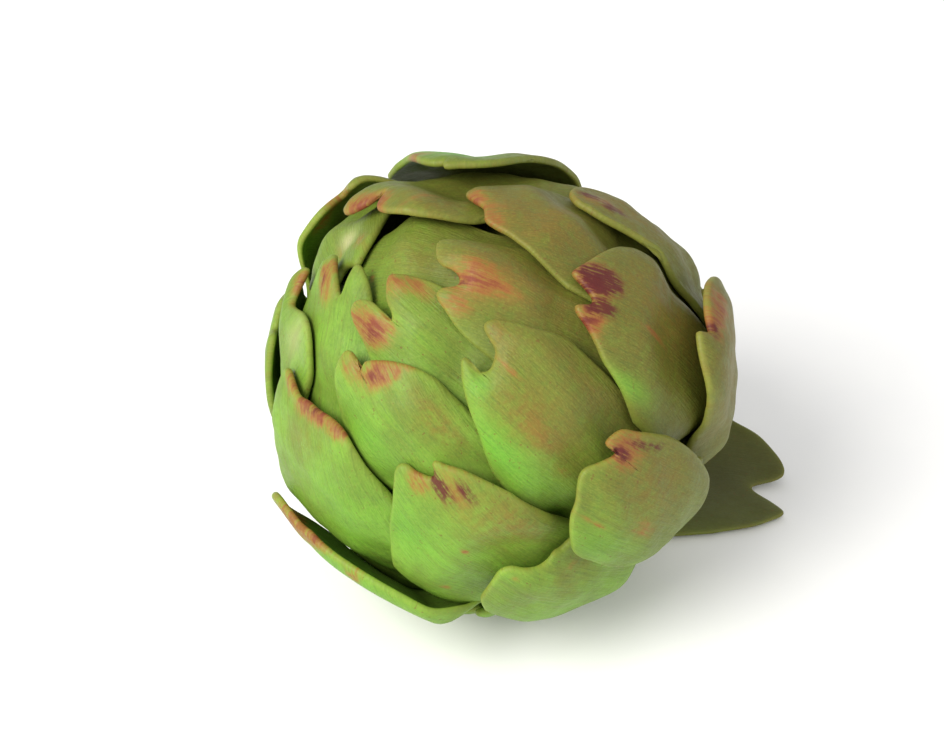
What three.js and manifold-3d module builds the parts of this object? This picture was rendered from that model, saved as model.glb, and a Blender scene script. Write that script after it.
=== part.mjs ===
// A whole globe artichoke lying on its side: a closed head of fleshy, notched bracts that overlap
// like roof tiles, on a bowl-shaped heart with a short cut stem. Millimetres and degrees, +Z up.
//
// The head is laid out in its own frame, with +Z through its crown. A place on the globe is a polar
// angle from the crown and an azimuth about that axis. The head then leans over towards -X, and
// rests on a small flat spot under the middle of the globe, which is the part's origin.
import * as THREE from "three";
import Module from "manifold-3d";

const wasm = await Module();
wasm.setup();

// ---- driving dimensions ----
const GLOBE_RADIUS = 52.5; // outer skin at the widest, so the head is about 105 mm across
const CROWN_RADIUS = 54.5; // outer skin from the centre to the crown
const BASE_RADIUS = 49; // outer skin from the centre to the stem end
const LEAN = 45; // tilt of the head's axis from upright
const FLATTEN = { az: 5, polar: 70, depth: 3.5, reach: 50 }; // a flatter patch, reach degrees about it
const FLAT_DEPTH = 1; // how far the lowest bract is pressed flat by the surface it lies on

const FLESH = 2.1; // a bract's thickness along its middle
const LAYER = 3.2; // room for one bract in the stack: its flesh and the air under it
const EDGE_OUT = 0.45; // the skin's drop at a bract's edge
const EDGE_IN = 1.5; // depth of the inner face at a bract's edge
const EASE = 15; // width of the slope where a bract slips under another one's edge

const STEM_RADIUS = 10.5;
const STEM_LENGTH = 4; // cut stub below the heart
const HEART_TOP = 112; // polar angle where the heart ends and the closed bud begins
const FOOT_HALF_WIDTH = 6.5; // of a bract where it leaves the heart
const ROW = 9; // spacing of a bract's rows of points
const CLEARANCE = 0.5; // air between the heart or the bud and the bracts on it

const COLOURS = { green: 0x7ea644, pale: 0xb7c98a, cut: 0x9aa65c };

const rad = THREE.MathUtils.degToRad;
const { lerp, smoothstep, clamp } = THREE.MathUtils;

// ---- the bracts, from the innermost to the outermost ----
// az and tip are the azimuth of the midline and the polar angle of the tip line, half the half-width.
// notch is [x, depth] below the tip line, and left and right are the horns beside it, [away from the
// notch, height over the tip line]. lift is how far a loose tip stands off the globe.
const bract = (name, az, tip, half, more = {}) => ({
  name,
  az,
  tip,
  half,
  notch: [0, 4],
  left: [4.8, 2],
  right: [4.8, 2],
  lift: 0,
  ...more,
});

const BRACTS = [
  bract("crown_bract_1", 312, -1, 13, { notch: [1, 1], left: [1.5, 1.5], right: [2.5, 1] }),
  bract("crown_bract_2", 75, 3, 13, { notch: [-1, 2], left: [4, 1], right: [3.5, 1.5] }),
  bract("crown_bract_3", 212, -2, 14, { notch: [2.5, 6], left: [9, 1], right: [1.5, 0.5] }),
  bract("crown_bract_4", 278, 14, 15.5, { notch: [0.5, 6], left: [3.5, 3], right: [6, 0.5] }),
  bract("crown_bract_5", 20, 18, 17, { notch: [2.5, 3.5], left: [4, 2], right: [8, 4.5], lift: 2 }),
  bract("crown_bract_6", 160, 14, 18, { notch: [-2, 2], left: [12, 0], right: [8, 2] }),

  bract("inner_bract_1", 252, 25, 15.5, { notch: [-0.8, 3.5], left: [1.5, 2.5], right: [2, 0.5] }),
  bract("inner_bract_2", 310, 28, 16.5, { notch: [-0.5, 5], left: [4, -1], right: [7, 2.5] }),
  bract("inner_bract_3", 205, 31, 20, { notch: [-3.5, 1], left: [6, 4.5], right: [5, -0.5] }),
  bract("inner_bract_4", 342, 36, 17.5, { notch: [2, 2.5], left: [3, 0.5], right: [8, 1.5] }),
  bract("inner_bract_5", 91, 38, 19, { lift: 7 }),
  bract("inner_bract_6", 137, 39, 17, { lift: 1.5 }),

  bract("middle_bract_1", 287, 44, 18, { notch: [-1, 3.5], left: [1.5, 3], right: [8.5, 2] }),
  bract("middle_bract_2", 65, 47, 18.5, { lift: 3 }),
  bract("middle_bract_3", 244, 53, 19.5, { notch: [4.5, 3], left: [4, 2], right: [3.5, 0.5] }),
  bract("middle_bract_4", 318, 60, 18.5, { notch: [-1.5, 4], left: [2.6, 0.5], right: [5.8, 2] }),
  bract("middle_bract_5", 357, 61, 16.5),
  bract("middle_bract_6", 111, 64, 18),
  bract("middle_bract_7", 191, 71, 20, { notch: [0, 3], lift: 6.5 }),

  bract("outer_bract_2", 64, 84, 18),
  bract("outer_bract_3", 148, 86, 18.5),
  bract("outer_bract_5", 27, 97, 18),
  bract("outer_bract_6", 212, 97, 18),
  bract("outer_bract_8", 105, 98, 18),

  bract("lower_bract_1", 180, 107, 18.5, { notch: [0, 3] }),
  bract("lower_bract_2", 300, 127, 16),
  bract("lower_bract_3", 48, 116, 17),
  bract("lower_bract_4", 266, 124, 16),
  bract("lower_bract_5", 142, 117, 17),
  bract("lower_bract_6", 4, 117, 17),
  bract("lower_bract_7", 222, 121, 17),
  bract("lower_bract_8", 93, 119, 16, { foot: 146 }),
  bract("outer_bract_7", 328, 93, 19, {
    notch: [-2.5, 2],
    left: [2, 2.5],
    right: [12, 1],
    lift: 3,
    foot: 156,
  }),
  bract("outer_bract_4", 256, 88, 20, {
    notch: [-2.5, 3],
    left: [4.5, 2.5],
    right: [6.5, -2],
    foot: 148,
  }),
  bract("outer_bract_1", 280, 80, 20.5, {
    notch: [4.5, 3],
    left: [4.5, 1.2],
    right: [3.5, 0.3],
    lift: 1.5,
    foot: 152,
  }),

  bract("base_bract_1", 184, 121, 16, { notch: [0, 3], foot: 160 }),
  bract("base_bract_2", 340, 141, 12, { notch: [0, 3] }),
  bract("base_bract_3", 140, 140, 13, { notch: [0, 3] }),
  bract("base_bract_4", 250, 141, 13, { notch: [0, 3] }),
  bract("base_bract_5", 30, 142, 13, { notch: [0, 3] }),
];

// One loose bract by the stem has opened right out and droops to the surface. Its foot and the middle
// of its tip are given in the part's own frame, with the height of its inner face over its edges.
const SPREAD = {
  ...bract("spread_bract", 0, 0, 17, { notch: [1.5, 5.5], left: [5, 1], right: [6, 2.5] }),
  from: new THREE.Vector3(31, 24, 19),
  to: new THREE.Vector3(72.5, 2, 2.5),
  across: new THREE.Vector3(0.48, 0.8, 0.36),
  cup: 4,
  sag: 7,
};

// ---- a bract's outline, in mm of arc: x across it, y from its tip line towards its foot ----
// The foot of a bract sits lower on the heart the lower its tip is.
const footAngle = (b) => b.foot ?? lerp(104, 166, b.tip / 145);
const lengthOf = (b) => rad(footAngle(b) - b.tip) * GLOBE_RADIUS;
const shoulderY = (b) => 0.72 * b.half; // where the tip's curve runs into the sides
const shoulderHalf = (b) => 0.9 * b.half;

/** Half-width of a bract at y from its tip line, from the shoulder to the foot. */
function halfWidth(b, y, length = lengthOf(b)) {
  const top = shoulderY(b);
  const widest = top + 0.75 * b.half;
  if (y < widest) {
    return lerp(shoulderHalf(b), b.half, Math.sin((Math.PI / 2) * clamp((y - top) / (widest - top), 0, 1)));
  }
  const towardsFoot = smoothstep(y, lerp(widest, length, 0.3), length);
  return lerp(b.half, Math.min(FOOT_HALF_WIDTH, b.half), towardsFoot);
}

/** The tip's edge: two horns beside a round notch, falling away to the shoulders. */
function tipEdge(b, x) {
  const [middle, depth] = b.notch;
  const [away, height] = x < middle ? b.left : b.right;
  const offset = Math.abs(x - middle);
  if (offset < away) {
    return depth - (depth + height) * (offset / away) ** 1.6;
  }
  const end = shoulderHalf(b) + (x < middle ? middle : -middle);
  return lerp(-height, shoulderY(b), ((offset - away) / (end - away)) ** 1.7);
}

// ---- places on the globe ----
/** Unit direction at (x, y) of a bract, with its meridian at azimuth 0. */
function directionAt(b, x, y) {
  const down = rad(b.tip) + y / GLOBE_RADIUS;
  const across = x / GLOBE_RADIUS;
  return new THREE.Vector3(
    Math.cos(across) * Math.sin(down),
    Math.sin(across),
    Math.cos(across) * Math.cos(down),
  );
}

const flatMiddle = new THREE.Vector3(
  Math.sin(rad(FLATTEN.polar)) * Math.cos(rad(FLATTEN.az)),
  Math.sin(rad(FLATTEN.polar)) * Math.sin(rad(FLATTEN.az)),
  Math.cos(rad(FLATTEN.polar)),
);

/** The outer skin's radius in a direction: an egg, blunter at the stem end, with its flatter patch. */
function skinRadius(dir) {
  const pole = dir.z > 0 ? CROWN_RADIUS : BASE_RADIUS;
  const egg = 1 / Math.sqrt((dir.z / pole) ** 2 + (1 - dir.z ** 2) / GLOBE_RADIUS ** 2);
  return egg - FLATTEN.depth * smoothstep(dir.dot(flatMiddle), Math.cos(rad(FLATTEN.reach)), 1);
}

/** How far a bract covers what lies under it in a direction: 1 inside its edge, 0 beyond EASE outside. */
function cover(b, dir) {
  const az = rad(b.az);
  const out = dir.x * Math.cos(az) + dir.y * Math.sin(az);
  const x = Math.abs(Math.asin(clamp(dir.y * Math.cos(az) - dir.x * Math.sin(az), -1, 1))) * GLOBE_RADIUS;
  const y = (Math.atan2(out, dir.z) - rad(b.tip)) * GLOBE_RADIUS;
  if (y < -3 * EASE) return 0;
  const top = shoulderY(b);
  let outside = x - halfWidth(b, y);
  if (y < top) {
    const reach = top + Math.max(b.left[1], b.right[1]) + 0.6;
    const half = shoulderHalf(b);
    outside = (((x / half) ** 2.2 + ((top - y) / reach) ** 2.2) ** (1 / 2.2) - 1) * half;
  }
  return 1 - smoothstep(outside, 0, EASE);
}

/** Depth below the skin of the bracts over rank, in layers. */
function layersOver(rank, dir) {
  return BRACTS.slice(rank + 1).reduce((sum, b) => sum + cover(b, dir), 0);
}

/** Radius of a bract's nominal outer face: under every bract over it, or lifted where nothing holds it. */
function faceRadius(rank, dir) {
  const b = BRACTS[rank];
  const over = layersOver(rank, dir);
  const polar = THREE.MathUtils.radToDeg(Math.acos(dir.z));
  const loose = 1 - smoothstep(polar, b.tip, b.tip + 26);
  return skinRadius(dir) - LAYER * over + b.lift * loose * Math.max(0, 1 - over);
}

// ---- meshes ----
/** A closed shell from two grids of points, rows of equal length, the outer one first. */
function shell(outer, inner) {
  const rows = outer.length;
  const columns = outer[0].length;
  const points = [...outer.flat(), ...inner.flat()];
  const at = (face, r, c) => face * rows * columns + r * columns + c;
  const index = [];
  const quad = (a, b, c, d) => index.push(a, b, c, a, c, d);
  for (let r = 0; r < rows - 1; r++) {
    for (let c = 0; c < columns - 1; c++) {
      quad(at(0, r, c), at(0, r, c + 1), at(0, r + 1, c + 1), at(0, r + 1, c));
      quad(at(1, r, c), at(1, r + 1, c), at(1, r + 1, c + 1), at(1, r, c + 1));
    }
    quad(at(0, r, 0), at(0, r + 1, 0), at(1, r + 1, 0), at(1, r, 0));
    quad(at(1, r, columns - 1), at(1, r + 1, columns - 1), at(0, r + 1, columns - 1), at(0, r, columns - 1));
  }
  for (let c = 0; c < columns - 1; c++) {
    quad(at(0, 0, c + 1), at(0, 0, c), at(1, 0, c), at(1, 0, c + 1));
    quad(at(0, rows - 1, c), at(0, rows - 1, c + 1), at(1, rows - 1, c + 1), at(1, rows - 1, c));
  }
  const geometry = new THREE.BufferGeometry().setFromPoints(points);
  geometry.setIndex(index);
  geometry.computeVertexNormals();
  return geometry;
}

/** Fractions of a bract's length from its foot to its tip, about ROW apart and closer at the tip. */
function stepsAlong(length) {
  const count = Math.max(4, Math.round(length / ROW));
  return Array.from({ length: count + 1 }, (_, i) => (i / count) * (1.35 - (0.35 * i) / count));
}

/** x of the nine lines that run along a bract: its sides, its horns, its notch and one between each. */
function linesAcross(b) {
  const half = shoulderHalf(b);
  const middle = b.notch[0];
  const [left, right] = [middle - b.left[0], middle + b.right[0]];
  return [-half, (left - half) / 2, left, (left + middle) / 2, middle, (right + middle) / 2, right,
    (right + half) / 2, half];
}

/** The bract's two faces: place(x, y, depth) puts a point at that depth below its nominal face. */
function bractGeometry(b, length, place) {
  const top = shoulderY(b);
  const lines = linesAcross(b);
  const grid = (middle, edge) => stepsAlong(length).map((v) => lines.map((line, column) => {
    const sideY = length - v * (length - top);
    const x = (line / shoulderHalf(b)) * halfWidth(b, sideY, length);
    const y = length - v * (length - tipEdge(b, line));
    const atEdge = v === 1 || column === 0 || column === lines.length - 1;
    return place(x, y, atEdge ? edge : middle);
  }));
  return shell(grid(0, EDGE_OUT), grid(FLESH, EDGE_IN));
}

const artichoke = new THREE.Group();
const head = new THREE.Group();
artichoke.add(head);
head.rotation.y = rad(-LEAN);
const lowest = new THREE.Vector3(0, 0, -1).applyAxisAngle(new THREE.Vector3(0, 1, 0), rad(LEAN));
head.position.z = skinRadius(lowest) - FLAT_DEPTH;

/** Cuts off whatever of a mesh lies below the surface, which leaves it flat where the head rests. */
function pressFlat(mesh) {
  mesh.updateWorldMatrix(true, false);
  const world = mesh.geometry.clone().applyMatrix4(mesh.matrixWorld);
  world.computeBoundingBox();
  if (world.boundingBox.min.z >= 0) return;
  const whole = new wasm.Manifold(
    new wasm.Mesh({
      numProp: 3,
      vertProperties: world.attributes.position.array,
      triVerts: new Uint32Array(world.index.array),
    }),
  );
  const above = whole.trimByPlane([0, 0, 1], 0).getMesh();
  mesh.geometry = new THREE.BufferGeometry()
    .setAttribute("position", new THREE.BufferAttribute(above.vertProperties, 3))
    .setIndex(new THREE.BufferAttribute(above.triVerts, 1))
    .applyMatrix4(mesh.matrixWorld.clone().invert());
  mesh.geometry.computeVertexNormals();
}

const skin = (color, roughness = 0.55) => new THREE.MeshStandardMaterial({ color, roughness, metalness: 0 });

function addBract(b, rank) {
  const axis = new THREE.Vector3(0, 0, 1);
  const turn = rad(b.az);
  const geometry = bractGeometry(b, lengthOf(b), (x, y, depth) => {
    const dir = directionAt(b, x, y);
    return dir.multiplyScalar(faceRadius(rank, dir.clone().applyAxisAngle(axis, turn)) - depth);
  });
  const mesh = new THREE.Mesh(geometry, skin(COLOURS.green));
  mesh.name = b.name;
  mesh.rotation.z = turn;
  head.add(mesh);
  pressFlat(mesh);
}
BRACTS.forEach(addBract);

/** The loose bract is a shallow spoon, lying along the line from its foot to its tip. */
function addSpreadBract(b) {
  const along = b.to.clone().sub(b.from);
  const length = along.length();
  along.normalize();
  const upper = b.across.clone().cross(along).negate().normalize();
  const across = along.clone().cross(upper);
  const geometry = bractGeometry(b, length, (x, y, depth) => {
    const bend = b.cup * (x / b.half) ** 2 - b.sag * Math.sin((Math.PI * y) / length);
    return new THREE.Vector3(x, length - y, bend - depth);
  });
  const mesh = new THREE.Mesh(geometry, skin(COLOURS.green));
  mesh.name = b.name;
  mesh.quaternion.setFromRotationMatrix(new THREE.Matrix4().makeBasis(across, along, upper));
  mesh.position.copy(b.from);
  artichoke.add(mesh);
  mesh.position.z -= new THREE.Box3().setFromObject(mesh, true).min.z;
}
addSpreadBract(SPREAD);

// ---- the bud and the heart: what is left inside the deepest bract ----
/** Radius of the core at a polar angle, clear of every bract all the way round. */
function coreRadius(polar) {
  let least = Infinity;
  for (let az = 0; az < 360; az += 4) {
    const dir = new THREE.Vector3().setFromSphericalCoords(1, rad(polar), rad(az));
    const [x, y, z] = [dir.z, dir.x, dir.y];
    const here = new THREE.Vector3(x, y, z);
    least = Math.min(least, skinRadius(here) - LAYER * layersOver(-1, here));
  }
  return least - CLEARANCE;
}

/** Lathe profile points (radius, height) of the core between two polar angles. */
function coreProfile(from, to, steps) {
  return Array.from({ length: steps + 1 }, (_, i) => {
    const polar = lerp(from, to, i / steps);
    const r = coreRadius(polar);
    return new THREE.Vector2(r * Math.sin(rad(polar)), r * Math.cos(rad(polar)));
  });
}

/** A closed solid turned about the head's axis, from a profile that starts and ends on it. */
function turned(name, profile, segments, material) {
  const geometry = new THREE.LatheGeometry(profile, segments);
  geometry.rotateX(Math.PI / 2);
  const mesh = new THREE.Mesh(geometry, material);
  mesh.name = name;
  head.add(mesh);
}

const budProfile = coreProfile(4, HEART_TOP, 14);
const budFloor = budProfile.at(-1).y;
turned(
  "closed_bud",
  [new THREE.Vector2(0, budFloor), ...budProfile.reverse(), new THREE.Vector2(0, coreRadius(0))],
  24,
  skin(COLOURS.pale),
);

const heartTop = budFloor - CLEARANCE;
const flank = coreProfile(HEART_TOP + 2, 160, 6).filter((p) => p.y < heartTop && p.x > STEM_RADIUS);
const stemTop = flank.at(-1).y - 3;
const stemEnd = -BASE_RADIUS + 2 - STEM_LENGTH;
turned(
  "heart_and_stem",
  [
    new THREE.Vector2(0, stemEnd),
    new THREE.Vector2(STEM_RADIUS, stemEnd),
    new THREE.Vector2(STEM_RADIUS, stemTop),
    ...flank.reverse(),
    new THREE.Vector2(flank[flank.length - 1].x, heartTop),
    new THREE.Vector2(0, heartTop),
  ],
  24,
  skin(COLOURS.cut, 0.7),
);

export default artichoke;
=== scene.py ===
import math

import bpy
import numpy as np
from mathutils import Matrix, Vector


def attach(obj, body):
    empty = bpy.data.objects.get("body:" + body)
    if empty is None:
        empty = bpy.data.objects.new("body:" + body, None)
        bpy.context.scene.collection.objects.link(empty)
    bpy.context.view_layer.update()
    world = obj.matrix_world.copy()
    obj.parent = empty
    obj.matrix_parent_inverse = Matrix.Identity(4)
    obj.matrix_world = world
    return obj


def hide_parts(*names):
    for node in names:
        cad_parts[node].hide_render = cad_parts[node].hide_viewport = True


# A globe artichoke on its side: each CAD bract is replaced by a fine one with rounded margins and the
# stains of a handled vegetable. Shapes are worked out in millimetres, in the head's own frame (+Z through
# the crown), and put into Blender's metres at the end.
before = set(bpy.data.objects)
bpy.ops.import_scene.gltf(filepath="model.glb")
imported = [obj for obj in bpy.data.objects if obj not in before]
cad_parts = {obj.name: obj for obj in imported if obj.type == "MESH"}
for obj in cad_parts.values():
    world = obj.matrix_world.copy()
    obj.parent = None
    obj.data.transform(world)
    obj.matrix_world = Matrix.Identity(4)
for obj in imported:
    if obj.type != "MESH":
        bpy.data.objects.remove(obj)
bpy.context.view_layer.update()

# ---- driving dimensions, in millimetres and degrees ----
GLOBE_RADIUS = 52.5  # outer skin at the widest
CROWN_RADIUS = 54.5  # outer skin from the centre to the crown
BASE_RADIUS = 49.0  # outer skin from the centre to the stem end
LEAN = 45  # tilt of the head's axis from upright
FLATTER = dict(az=5, polar=70, depth=3.5, reach=50)  # a flatter patch on the far side
FLAT_DEPTH = 1.0  # how far the lowest bract is pressed flat

LAYER = 3.2  # room for one bract in the stack
EASE = 12.0  # width of the slope where a bract slips under another one's edge
FREE_FLARE = 4.5  # a margin that flares out more than this presses nothing under it
LIFT_ENDS = 24  # distance from the tip line where a bract's lift has died out
FLARE_WIDTH = 16  # width of the band along the margin that flares
FLARE_ENDS = (24, 50)  # where, from the tip line, the flare begins and ends to die out

FLESH = 2.5  # a bract's thickness along its middle
MARGIN = 1.7  # its thickness at the margin, which is rounded over
THICKENS = 8.0  # distance from the margin where the full thickness is reached
ROLL = (0.8, 6.0)  # how far, and over what width, the outer face curls down to the margin
FOOT_HALF = 6.5  # half-width of a bract where it leaves the heart
FOOT_POLARS = (104, 166)  # where the bracts end whose tips are at polar angles 0 and LAST_TIP
LAST_TIP = 145  # just past the tip nearest the stem
WIDEST_AT = 0.75  # a side is widest this many half-widths past its shoulder
WAVE_SPANS = (9, 13, 19, 30)  # lengths of the slight waves in the flesh
WAVE_HEIGHT = 0.35
WAVE_EASE = 3.0  # distance from the margin over which the waves set in

OUTLINE_STEP = 0.6
CURVE_STEPS = 12  # points for each span of a tip's curve
FINE_CELL = (0.75, 1.3)  # largest cell of a bract's mesh, across and along, where it is seen well
COARSE_CELL = (1.5, 2.6)  # and where it is not
FIRST_CELL = 0.14  # the cell at the margin, from which cells grow inwards
GROWTH = (0.2, 0.11)  # by how much of their distance from the margin, across and along

STEM_RADIUS = 10.5
STEM_LENGTH = 4.0
HEART_TOP = 112  # polar angle where the heart ends and the bud begins
HEART_END = 160  # and where the bowl of the heart ends
CLEARANCE = 0.5  # air between the core and the bracts on it

PAINTED_SHADE_SIDE = np.array([0.75, 0.1, 0.55])  # the direction of the side given painted shade: olive towards it, facing away from the key lamp

MM = 0.001
UP = np.array([0.0, 0.0, 1.0])
FULL_TURN = 6.28  # near enough for a phase


def unit(v):
    """The unit vector along v."""
    return np.asarray(v, float) / np.linalg.norm(v, axis=-1, keepdims=True)


def lerp(a, b, t):
    """From a to b as t goes from 0 to 1."""
    return a + (b - a) * t


def smoothstep(x, low, high):
    """From 0 at low to 1 at high, with smooth ends."""
    t = np.clip((x - low) / (high - low), 0, 1)
    return t * t * (3 - 2 * t)


def smooth_curve(points, per_span):
    """Points along a Catmull-Rom curve through the given ones."""
    p = np.array(points, float)
    p = np.vstack([2 * p[0] - p[1], p, 2 * p[-1] - p[-2]])
    t = np.linspace(0, 1, per_span, endpoint=False)[:, None]
    spans = [
        b + t * (c - a) / 2 + t**2 * (2 * a - 5 * b + 4 * c - d) / 2 + t**3 * (3 * b - a - 3 * c + d) / 2
        for a, b, c, d in zip(p, p[1:], p[2:], p[3:])
    ]
    return np.vstack([*spans, p[-2:-1]])


# ---- the globe ----
def sphere_point(az, polar):
    """The direction at az degrees round the head's axis and polar degrees from its crown."""
    a, p = math.radians(az), math.radians(polar)
    return np.array([math.sin(p) * math.cos(a), math.sin(p) * math.sin(a), math.cos(p)])


def skin_radius(d):
    """The outer skin's radius in directions d: an egg, blunter at the stem, with its flatter patch."""
    z = d[..., 2]
    pole = np.where(z > 0, CROWN_RADIUS, BASE_RADIUS)
    egg = 1 / np.sqrt((z / pole) ** 2 + (1 - z**2) / GLOBE_RADIUS**2)
    near = d @ sphere_point(FLATTER["az"], FLATTER["polar"])
    return egg - FLATTER["depth"] * smoothstep(near, math.cos(math.radians(FLATTER["reach"])), 1)


TILT = np.array(Matrix.Rotation(math.radians(-LEAN), 3, "Y"))
CENTRE = UP * (skin_radius((-UP) @ TILT) - FLAT_DEPTH)  # of the globe, above its flat spot


def in_place(points):
    """Head-frame points in the part's frame, none of them below the surface the head lies on."""
    placed = points @ TILT.T + CENTRE
    placed[..., 2] = np.maximum(placed[..., 2], 0)
    return placed


# ---- one bract: its place and outline ----
class Bract:
    """A bract whose tip line's middle is at az, tip, and whose midline is turned by lean off the meridian.

    Its outline is in mm of arc: x across, y from the tip line towards the foot. edge runs round the tip
    from the left shoulder to the right one. widest is how far the left and right sides stand out, and
    taper says how early they draw in to the foot, at polar angle foot. lift stands the tip off what is
    under it, and flare does so right at the margin.
    """

    def __init__(self, name, az, tip, widest, edge=None, lean=0, foot=None, lift=0, flare=0, taper=0.3,
                 marks=()):
        self.name, self.widest, self.lift, self.flare, self.marks = name, widest, lift, flare, marks
        self.taper = taper
        self.seed = sum(ord(letter) * (place + 3) for place, letter in enumerate(name))
        draw = np.random.RandomState(self.seed)
        self.edge = edge or plain_edge(min(widest), draw)
        foot = foot or lerp(*FOOT_POLARS, tip / LAST_TIP)
        self.length = math.radians(foot - tip) * GLOBE_RADIUS
        self.waves = [
            (draw.uniform(-1, 1) / span, draw.uniform(-1, 1) / span, draw.uniform(0, FULL_TURN),
             span / WAVE_SPANS[-1])
            for span in WAVE_SPANS
        ]
        along = sphere_point(az, tip + 90)
        across = np.array([-math.sin(math.radians(az)), math.cos(math.radians(az)), 0])
        turn = math.radians(lean)
        self.top = sphere_point(az, tip)
        self.down = along * math.cos(turn) + across * math.sin(turn)
        self.across = across * math.cos(turn) - along * math.sin(turn)
        self.curve = smooth_curve(self.edge, CURVE_STEPS)

    def side(self, sign, y):
        """x of the left (-1) or right (1) side at y."""
        x0, y0 = self.edge[0 if sign < 0 else -1]
        half = self.widest[0 if sign < 0 else 1]
        widest_y = y0 + WIDEST_AT * half
        grown = lerp(abs(x0), half, np.sin(math.pi / 2 * np.clip((y - y0) / (widest_y - y0), 0, 1)))
        taper = smoothstep(y, lerp(widest_y, self.length, self.taper), self.length)
        return sign * (grown + (FOOT_HALF - half) * taper)

    def outline(self, beyond=0):
        """The closed outline as close points, its foot moved on by beyond."""
        end = self.length + beyond
        left = np.arange(self.edge[0][1] + OUTLINE_STEP, end, OUTLINE_STEP)
        right = np.arange(self.edge[-1][1] + OUTLINE_STEP, end, OUTLINE_STEP)
        foot = np.linspace(FOOT_HALF, -FOOT_HALF, 16)
        return np.vstack([
            np.stack([self.side(-1, left[::-1]), left[::-1]], 1),
            self.curve,
            np.stack([self.side(1, right), right], 1),
            np.stack([foot, np.full_like(foot, end)], 1),
        ])

    def direction(self, x, y):
        """The head-frame direction of the points x, y."""
        x, y = (np.asarray(v)[..., None] / GLOBE_RADIUS for v in (x, y))
        return (self.top * np.cos(y) + self.down * np.sin(y)) * np.cos(x) + self.across * np.sin(x)

    def local(self, d):
        """The x, y of head-frame directions."""
        x = np.arcsin(np.clip(d @ self.across, -1, 1)) * GLOBE_RADIUS
        return x, np.arctan2(d @ self.down, d @ self.top) * GLOBE_RADIUS

    def wave(self, x, y):
        """A slight unevenness of the flesh, under half a millimetre."""
        return WAVE_HEIGHT * sum(
            size * np.sin(FULL_TURN * (u * x + v * y) + phase) for u, v, phase, size in self.waves
        )


def plain_edge(half, draw):
    """A tip with a shallow notch between two horns, each one a little different."""
    notch = draw.uniform(-1.5, 1.5)
    depth, left, right = draw.uniform(2, 4), draw.uniform(1, 2.6), draw.uniform(1, 2.6)
    return [
        (-0.9 * half, 0.72 * half),
        (-0.66 * half, 0.28 * half),
        (-0.42 * half, 0.02 * half),
        (notch - 4.4, -left),
        (notch - 2.2, 0.3 * depth),
        (notch, depth),
        (notch + 2.2, 0.2 * depth),
        (notch + 4.4, -right),
        (0.44 * half, 0),
        (0.68 * half, 0.3 * half),
        (0.9 * half, 0.72 * half),
    ]


def distance_to(outline, x, y):
    """Distance from each (x, y) to a closed polyline."""
    points = np.stack([x.ravel(), y.ravel()], 1)
    step = np.roll(outline, -1, axis=0) - outline
    squared = np.maximum((step**2).sum(1), 1e-9)
    least = np.full(len(points), np.inf)
    for a, s, s_squared in zip(outline, step, squared):
        off = points - a
        t = np.clip(off @ s / s_squared, 0, 1)
        off -= t[:, None] * s
        np.minimum(least, (off**2).sum(1), out=least)
    return np.sqrt(least).reshape(x.shape)


def inside(outline, x, y):
    """Whether each (x, y) lies inside a closed polyline, by counting crossings."""
    odd = np.zeros(x.shape, bool)
    for (ax, ay), (bx, by) in zip(outline, np.roll(outline, -1, axis=0)):
        if ay != by:
            odd ^= ((ay > y) != (by > y)) & (x < ax + (y - ay) * (bx - ax) / (by - ay))
    return odd


class Cover:
    """How far a bract covers what lies under it, as a grid over its x, y.

    It is 1 inside its outline and falls to 0 at EASE outside. A bract that flares presses nothing under
    its margin, so its cover falls off inside its outline instead.
    """

    STEP = 1.5
    BEYOND = 40  # the cover goes on past the foot, so that nothing under it steps up there
    BORDER = EASE + 2

    def __init__(self, b):
        self.b = b
        outline = b.outline(self.BEYOND)[::2]
        self.low = np.array([-b.widest[0] - self.BORDER, outline[:, 1].min() - self.BORDER])
        high = np.array([b.widest[1] + self.BORDER, b.length + self.BEYOND])
        count = np.ceil((high - self.low) / self.STEP).astype(int) + 1
        x = self.low[0] + self.STEP * np.arange(count[0])
        y = self.low[1] + self.STEP * np.arange(count[1])
        x, y = np.meshgrid(x, y, indexing="ij")
        outside = distance_to(outline, x, y) * np.where(inside(outline, x, y), -1, 1)
        start = -EASE if b.flare > FREE_FLARE else 0
        self.grid = 1 - smoothstep(outside, start, start + EASE)

    def __call__(self, d):
        x, y = self.b.local(d)
        u, v = (x - self.low[0]) / self.STEP, (y - self.low[1]) / self.STEP
        rows, columns = self.grid.shape
        within = (u >= 0) & (v >= 0) & (u < rows - 1) & (v < columns - 1)
        u, v = np.where(within, u, 0), np.where(within, v, 0)
        i, j = u.astype(int), v.astype(int)
        u, v = u - i, v - j
        g = self.grid
        value = lerp(lerp(g[i, j], g[i + 1, j], u), lerp(g[i, j + 1], g[i + 1, j + 1], u), v)
        return np.where(within, value, 0)


# ---- the bracts, from the innermost to the outermost ----
# A mark is (kind, x, y, half-width, half-length, strength) in the bract's own frame.
# The painted_shade kind is no stain: it is painted shade that darkens a bract towards a shaded olive.
KINDS = RUST, PURPLE, OLIVE, BRIGHT, PALE, PAINTED_SHADE = "rust", "purple", "olive", "bright", "pale", "painted_shade"

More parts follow.
